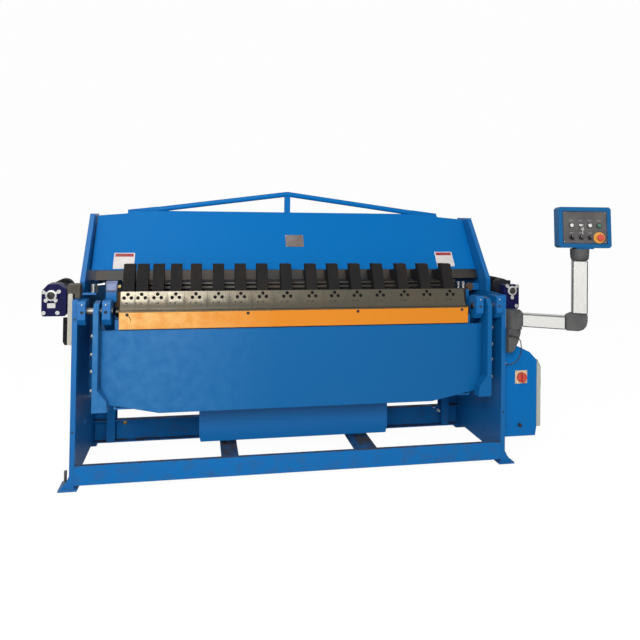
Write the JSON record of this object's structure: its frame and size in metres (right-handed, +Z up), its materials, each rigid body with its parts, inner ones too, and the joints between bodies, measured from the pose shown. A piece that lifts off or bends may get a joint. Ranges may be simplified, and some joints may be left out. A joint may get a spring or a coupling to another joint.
{
  "type": "hydraulic box and pan brake",
  "caption": "Floor-standing hydraulic box and pan brake with segmented clamping fingers, a swinging folding beam, geared side motors and a control panel on a swing arm.",
  "frame": {"origin": "on the floor, midway between the four floor bolt holes", "axes": "+X to the operator's right along the bending length, +Y to the rear, +Z up"},
  "size_m": [3.2453, 0.9877, 1.6448],
  "materials": {
    "blue_paint": "semi-gloss",
    "orange_paint": "semi-gloss",
    "ground_steel": "ground",
    "bare_steel": "dull",
    "black_oxide": "satin",
    "bright_steel": "machined",
    "chrome_rod": "polished",
    "navy_paint": "gloss",
    "motor_paint": "satin",
    "cast_grey": "powder coated",
    "cream_paint": "satin",
    "silver_profile": "anodised",
    "panel_grey": "satin",
    "beige_paint": "textured",
    "yellow_plastic": "matte",
    "red_plastic": "gloss",
    "white_plastic": "gloss",
    "green_plastic": "gloss",
    "black_plastic": "matte",
    "cable_rubber": "matte"
  },
  "bodies": {
    "frame": {"arm_base": "cast_grey", "base_ties": "blue_paint", "bed_back_plate": "blue_paint", "bed_deep_box": "blue_paint", "bed_girder": "blue_paint", "bed_table": "ground_steel", "cabinet": "blue_paint", "cable_glands": "black_plastic", "clamp_cylinders": "black_oxide", "front_rail": "blue_paint", "gear_motor_left": "motor_paint", "gear_motor_right": "motor_paint", "gearbox_brackets": "cast_grey", "gearbox_left": "navy_paint", "gearbox_right": "navy_paint", "guide_plate": "cream_paint", "hinge_blocks_left": "blue_paint", "hinge_blocks_right": "blue_paint", "hinge_pins": "bright_steel", "loop_cable": "cable_rubber", "rail_posts": "blue_paint", "rear_rail": "blue_paint", "side_frame_left": "blue_paint", "side_frame_right": "blue_paint", "slotted_strip": "black_oxide", "switch_plate": "yellow_plastic"},
    "folding_beam": {"apron_plate": "blue_paint", "apron_backing": "blue_paint", "fold_arm_left": "blue_paint", "fold_arm_right": "blue_paint", "fold_bar": "orange_paint", "fold_edge": "ground_steel"},
    "clamping_beam": {"beam_panel": "blue_paint", "beam_box": "blue_paint", "beam_truss": "blue_paint", "clamp_bar": "bare_steel", "nose_blades": "ground_steel", "finger_holders": "black_oxide", "clamp_rods": "chrome_rod"},
    "control_arm": {"arm_root": "cast_grey", "arm_profile": "silver_profile", "arm_elbow": "cast_grey", "arm_post": "silver_profile"},
    "control_panel": {"panel_coupling": "cast_grey", "panel_case": "blue_paint", "panel_face": "panel_grey", "control_rings": "bright_steel", "estop_collar": "yellow_plastic"},
    "door": {"cabinet_door": "beige_paint"},
    "main_knob": {"main_switch": "red_plastic"},
    "emergency_stop_body": {"emergency_stop": "red_plastic"},
    "push_button_left_body": {"push_button_left": "white_plastic"},
    "push_button_middle_body": {"push_button_middle": "white_plastic"},
    "push_button_right_body": {"push_button_right": "green_plastic"},
    "key_switch_body": {"key_switch": "bright_steel"},
    "selector_left_body": {"selector_left": "black_plastic"},
    "selector_middle_body": {"selector_middle": "black_plastic"},
    "selector_right_body": {"selector_right": "black_plastic"}
  },
  "joints": [
    {"name": "fold", "type": "hinge", "parent": "frame", "child": "folding_beam", "pos_m": [0, -0.325, 0.953], "axis": [-1, 0, 0], "range_deg": [0, 135]},
    {"name": "clamp", "type": "slide", "parent": "frame", "child": "clamping_beam", "axis": [0, 0, 1], "range_m": [0, 0.05]},
    {"name": "arm_swing", "type": "hinge", "parent": "frame", "child": "control_arm", "pos_m": [1.308, -0.36, 0.818], "axis": [0, 0, 1], "range_deg": [-50, 45]},
    {"name": "panel_turn", "type": "hinge", "parent": "control_arm", "child": "control_panel", "pos_m": [1.63499, -0.53313, 1.246], "axis": [0, 0, 1], "range_deg": [-60, 60]},
    {"name": "door_hinge", "type": "hinge", "parent": "frame", "child": "door", "pos_m": [1.493, -0.02, 0.4], "axis": [0, 0, 1], "range_deg": [0, 100]},
    {"name": "main_switch_turn", "type": "hinge", "parent": "frame", "child": "main_knob", "pos_m": [1.385, -0.32, 0.507], "axis": [0, 1, 0], "range_deg": [0, 90]},
    {"name": "emergency_stop_press", "type": "slide", "parent": "control_panel", "child": "emergency_stop_body", "axis": [0.1732, 0.9824, -0.0698], "range_m": [0, 0.004]},
    {"name": "push_button_left_press", "type": "slide", "parent": "control_panel", "child": "push_button_left_body", "axis": [0.1732, 0.9824, -0.0698], "range_m": [0, 0.003], "stiffness_N_per_m": 400},
    {"name": "push_button_middle_press", "type": "slide", "parent": "control_panel", "child": "push_button_middle_body", "axis": [0.1732, 0.9824, -0.0698], "range_m": [0, 0.003], "stiffness_N_per_m": 400},
    {"name": "push_button_right_press", "type": "slide", "parent": "control_panel", "child": "push_button_right_body", "axis": [0.1732, 0.9824, -0.0698], "range_m": [0, 0.003], "stiffness_N_per_m": 400},
    {"name": "key_switch_turn", "type": "hinge", "parent": "control_panel", "child": "key_switch_body", "pos_m": [1.62422, -0.55967, 1.45331], "axis": [0.1732, 0.9824, -0.0698], "range_deg": [0, 90]},
    {"name": "selector_left_turn", "type": "hinge", "parent": "control_panel", "child": "selector_left_body", "pos_m": [1.57017, -0.55524, 1.38148], "axis": [0.1732, 0.9824, -0.0698], "range_deg": [-45, 45]},
    {"name": "selector_middle_turn", "type": "hinge", "parent": "control_panel", "child": "selector_middle_body", "pos_m": [1.62335, -0.56461, 1.38148], "axis": [0.1732, 0.9824, -0.0698], "range_deg": [-45, 45]},
    {"name": "selector_right_turn", "type": "hinge", "parent": "control_panel", "child": "selector_right_body", "pos_m": [1.67653, -0.57399, 1.38148], "axis": [0.1732, 0.9824, -0.0698], "range_deg": [-45, 45]}
  ]
}
